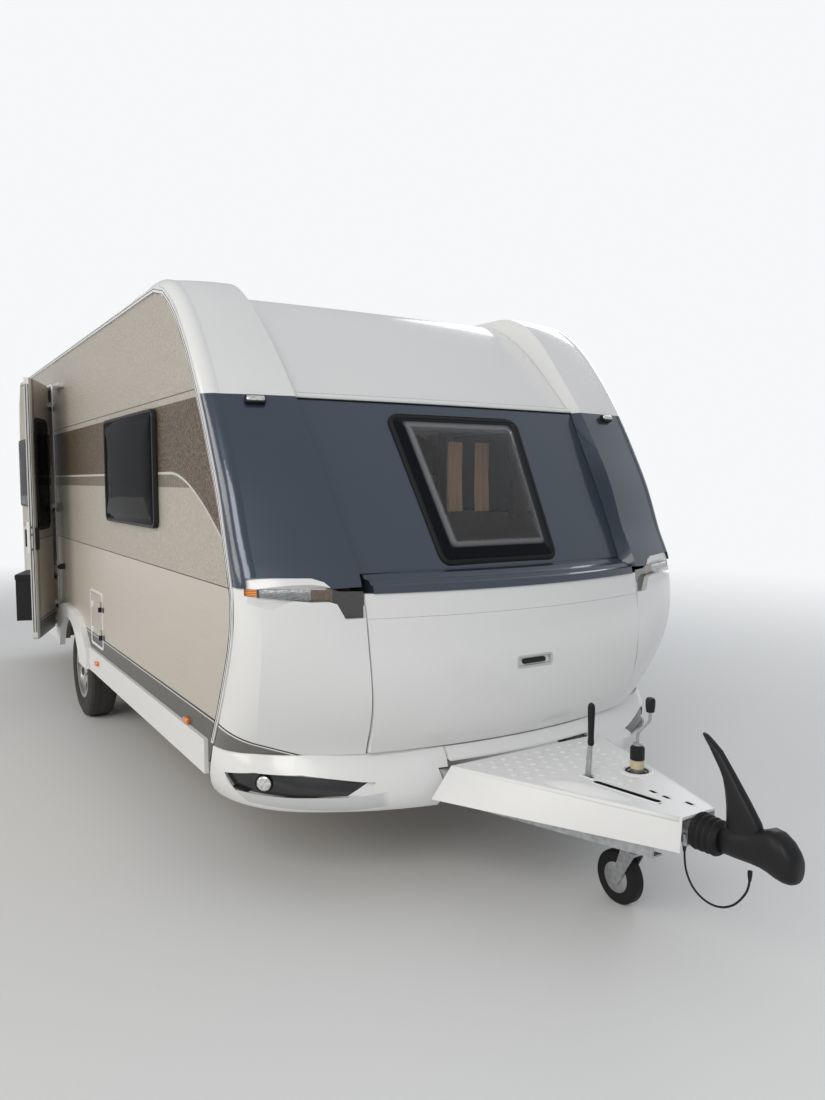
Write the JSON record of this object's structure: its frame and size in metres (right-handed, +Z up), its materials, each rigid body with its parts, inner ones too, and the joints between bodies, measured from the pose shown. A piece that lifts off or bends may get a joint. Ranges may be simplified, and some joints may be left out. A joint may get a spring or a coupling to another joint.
{
  "type": "travel caravan",
  "caption": "Single-axle travel caravan with raked glass-fibre nose, gas locker lid, side entrance door, drawbar with ball coupling and jockey wheel.",
  "frame": {"origin": "centre of the ball in the coupling's socket", "axes": "+X forward along the drawbar to the towing vehicle, +Y to the caravan's left, +Z up"},
  "size_m": [7.273, 2.6767, 2.59],
  "materials": {
    "gelcoat_white": "glossy white moulded glass-fibre",
    "wall_silver": "hammered light silver-beige wall sheet",
    "dark_front": "glossy dark blue-grey",
    "acrylic_dark": "smoked acrylic",
    "white_plastic": "white plastic",
    "black_plastic": "black plastic",
    "grey_liner": "dark grey wheel housing",
    "galvanised": "galvanised steel",
    "white_rail": "white coated aluminium",
    "wheel_silver": "silver wheel paint",
    "tyre_black": "road tyre",
    "rubber_black": "black rubber",
    "lamp_clear": "clear and chrome lamp",
    "lamp_red": "red lamp lens",
    "furniture": "light wood board",
    "cushion": "woven upholstery",
    "floor_board": "floor covering"
  },
  "bodies": {
    "caravan": {"side_wall_right": "wall_silver", "side_wall_left": "wall_silver", "roof_panel": "gelcoat_white", "floor": "floor_board", "wheel_housings": "grey_liner", "rear_shell": "gelcoat_white", "front_pillar_right": "gelcoat_white", "front_pillar_left": "gelcoat_white", "front_corner_right": "gelcoat_white", "front_corner_left": "gelcoat_white", "front_panel_white": "gelcoat_white", "front_panel_dark": "dark_front", "front_ledge": "dark_front", "locker_header": "gelcoat_white", "locker_bulkhead": "furniture", "chassis_rail_right": "galvanised", "chassis_rail_left": "galvanised", "cross_members": "galvanised", "axle_beam": "galvanised", "swing_arms": "galvanised", "corner_steadies": "galvanised", "drawbar_cover": "white_plastic", "overrun_housing": "galvanised", "bellows": "rubber_black", "coupling_head": "black_plastic", "coupling_handle": "black_plastic", "handbrake_lever": "black_plastic", "jockey_clamp": "galvanised", "jockey_tube": "galvanised", "jockey_crank": "black_plastic", "front_bumper": "gelcoat_white", "rear_bumper": "gelcoat_white", "side_sills": "white_rail", "arch_trims": "white_plastic", "edge_rails": "white_rail", "side_windows": "acrylic_dark", "front_window": "acrylic_dark", "rear_window": "acrylic_dark", "hinge_leaves": "black_plastic", "front_lamps": "lamp_clear", "rear_lamps": "lamp_red", "roof_hatches": "white_plastic", "awning_light": "lamp_clear", "rear_bed": "cushion", "kitchen_block": "furniture", "front_seats": "cushion", "breakaway_cable": "rubber_black"},
    "wheel_right": {"tyre_right": "tyre_black", "rim_right": "wheel_silver"},
    "wheel_left": {"tyre_left": "tyre_black", "rim_left": "wheel_silver"},
    "jockey_caster": {"jockey_fork": "galvanised"},
    "jockey_roller": {"jockey_wheel": "rubber_black"},
    "door": {"door_panel": "wall_silver", "door_window": "acrylic_dark", "door_bin": "black_plastic", "door_handle": "black_plastic"},
    "lid": {"locker_lid": "gelcoat_white"},
    "flap": {"service_flap": "wall_silver"}
  },
  "joints": [
    {"name": "wheel_right_spin", "type": "hinge", "parent": "caravan", "child": "wheel_right", "pos_m": [-4.715, -1.02, -0.162], "axis": [0, 1, 0], "continuous": true},
    {"name": "wheel_left_spin", "type": "hinge", "parent": "caravan", "child": "wheel_left", "pos_m": [-4.715, 1.02, -0.162], "axis": [0, 1, 0], "continuous": true},
    {"name": "jockey_swivel", "type": "hinge", "parent": "caravan", "child": "jockey_caster", "pos_m": [-0.73, 0.15, -0.087], "axis": [0, 0, 1], "continuous": true},
    {"name": "jockey_spin", "type": "hinge", "parent": "jockey_caster", "child": "jockey_roller", "pos_m": [-0.805, 0.15, -0.382], "axis": [0, 1, 0], "continuous": true},
    {"name": "door_hinge", "type": "hinge", "parent": "caravan", "child": "door", "pos_m": [-5.265, -1.165, 0.963], "axis": [0, 0, 1], "range_deg": [-160, 10]},
    {"name": "locker_lid_hinge", "type": "hinge", "parent": "caravan", "child": "lid", "pos_m": [-1.163, 0, 0.653], "axis": [0, -1, 0], "range_deg": [0, 45]},
    {"name": "service_flap_hinge", "type": "hinge", "parent": "caravan", "child": "flap", "pos_m": [-3.781, -1.165, 0.313], "axis": [0, 0, 1], "range_deg": [0, 150]}
  ]
}
